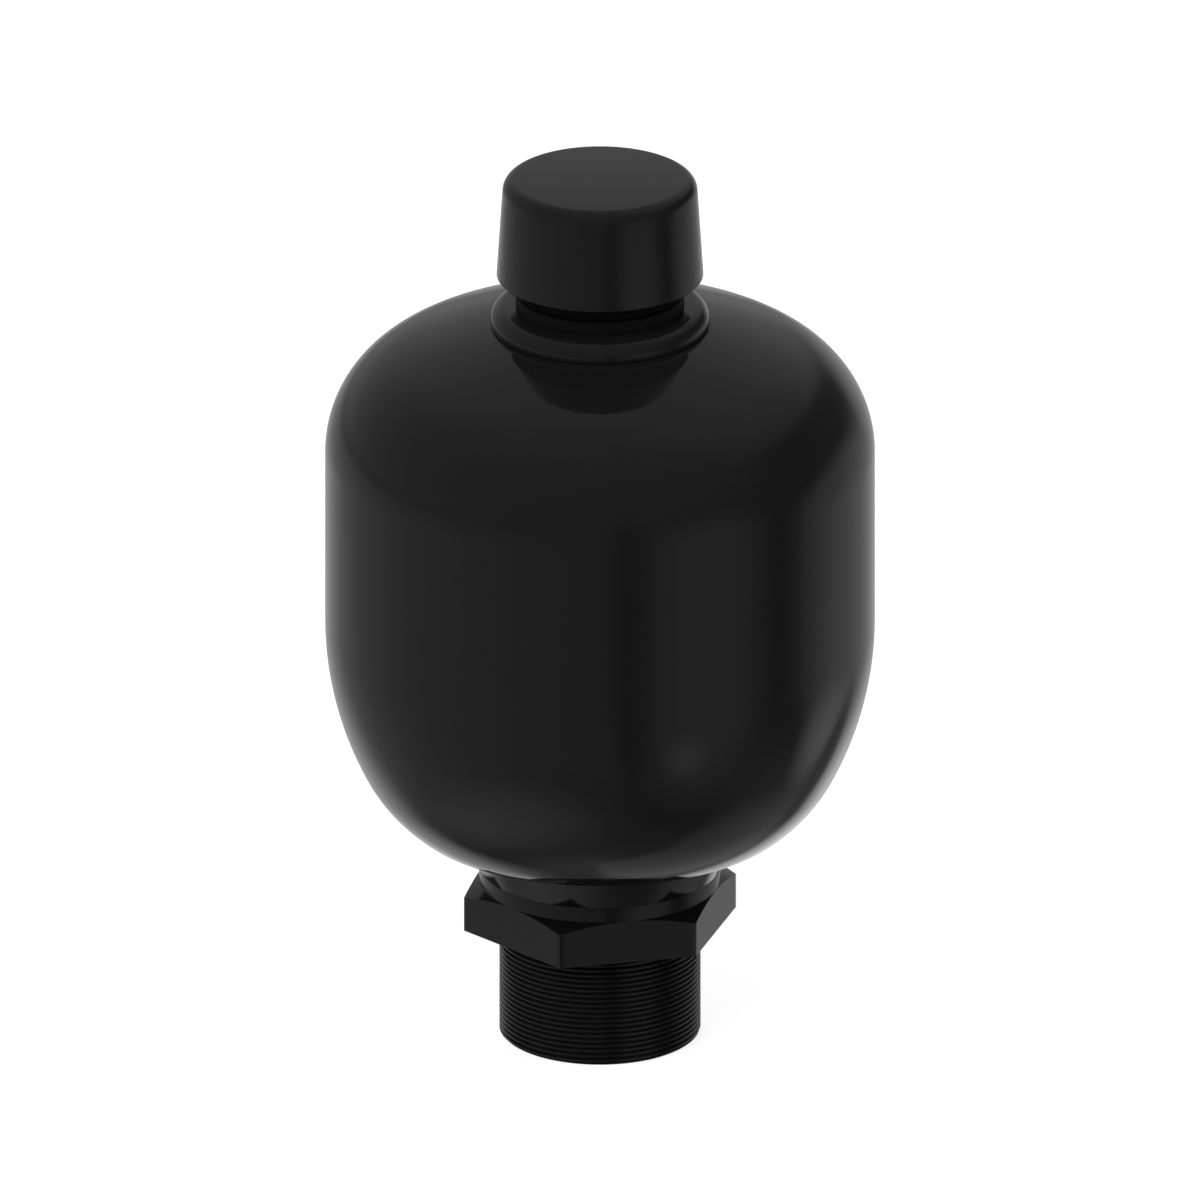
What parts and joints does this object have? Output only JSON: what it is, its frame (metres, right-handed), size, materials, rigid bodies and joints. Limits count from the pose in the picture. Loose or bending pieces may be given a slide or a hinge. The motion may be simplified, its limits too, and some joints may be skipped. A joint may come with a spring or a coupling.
{
  "type": "hydraulic accumulator",
  "caption": "Small bladder accumulator: steel shell with a threaded fluid port and poppet valve below, and a screw cap over its gas valve on top.",
  "frame": {"origin": "centre of the lower face of the threaded stub, on which the accumulator stands", "axes": "+Z along the axis from the fluid port up to the gas valve; two opposite corners of the hexagonal nut point along X"},
  "size_m": [0.153, 0.153, 0.2547],
  "materials": {
    "black_paint": "gloss",
    "cap_paint": "satin",
    "black_steel": "satin",
    "dull_black_steel": "matte",
    "bright_steel": "satin",
    "spring_steel": "satin",
    "bronze": "satin",
    "black_rubber": "matte",
    "white_plastic": "satin"
  },
  "bodies": {
    "shell": {"shell": "black_paint", "support_ring": "black_paint", "gas_lock_nut": "dull_black_steel", "lock_nut": "black_steel", "spacer_ring": "black_steel", "fluid_port_body": "black_steel", "anti_extrusion_ring": "bright_steel", "port_washer": "bright_steel", "port_o_ring": "black_rubber", "backup_ring": "white_plastic", "guide_bush": "bronze", "poppet_spring": "spring_steel", "bladder": "black_rubber", "valve_stem": "bright_steel", "seal_cap": "bronze", "seal_cap_o_ring": "black_rubber", "valve_core_body": "bronze", "valve_core_o_ring": "black_rubber", "valve_core_spring": "spring_steel"},
    "cap_seal": {"cap_seal_ring": "black_rubber"},
    "cap": {"protective_cap": "cap_paint"},
    "poppet": {"poppet": "bright_steel", "damping_sleeve": "bright_steel", "poppet_nut": "bright_steel"},
    "core_pin": {"valve_core_pin": "bronze", "valve_core_seal": "black_rubber"}
  },
  "joints": [
    {"name": "cap_lift", "type": "slide", "parent": "shell", "child": "cap_seal", "axis": [0, 0, 1], "range_m": [0, 0.006]},
    {"name": "cap_turn", "type": "hinge", "parent": "cap_seal", "child": "cap", "pos_m": [0, 0, 0.238], "axis": [0, 0, 1], "range_deg": [0, 1440]},
    {"name": "poppet_slide", "type": "slide", "parent": "shell", "child": "poppet", "axis": [0, 0, 1], "range_m": [-0.008, 0], "stiffness_N_per_m": 1500, "springref_m": 0.006, "deforming": ["poppet_spring"]},
    {"name": "core_pin_slide", "type": "slide", "parent": "shell", "child": "core_pin", "axis": [0, 0, 1], "range_m": [-0.001, 0], "stiffness_N_per_m": 800, "springref_m": 0.002, "deforming": ["valve_core_spring"]}
  ],
  "couplings": [
    {"joint": "cap_lift", "follows": "cap_turn", "m_per_rad": 0.00023873}
  ]
}
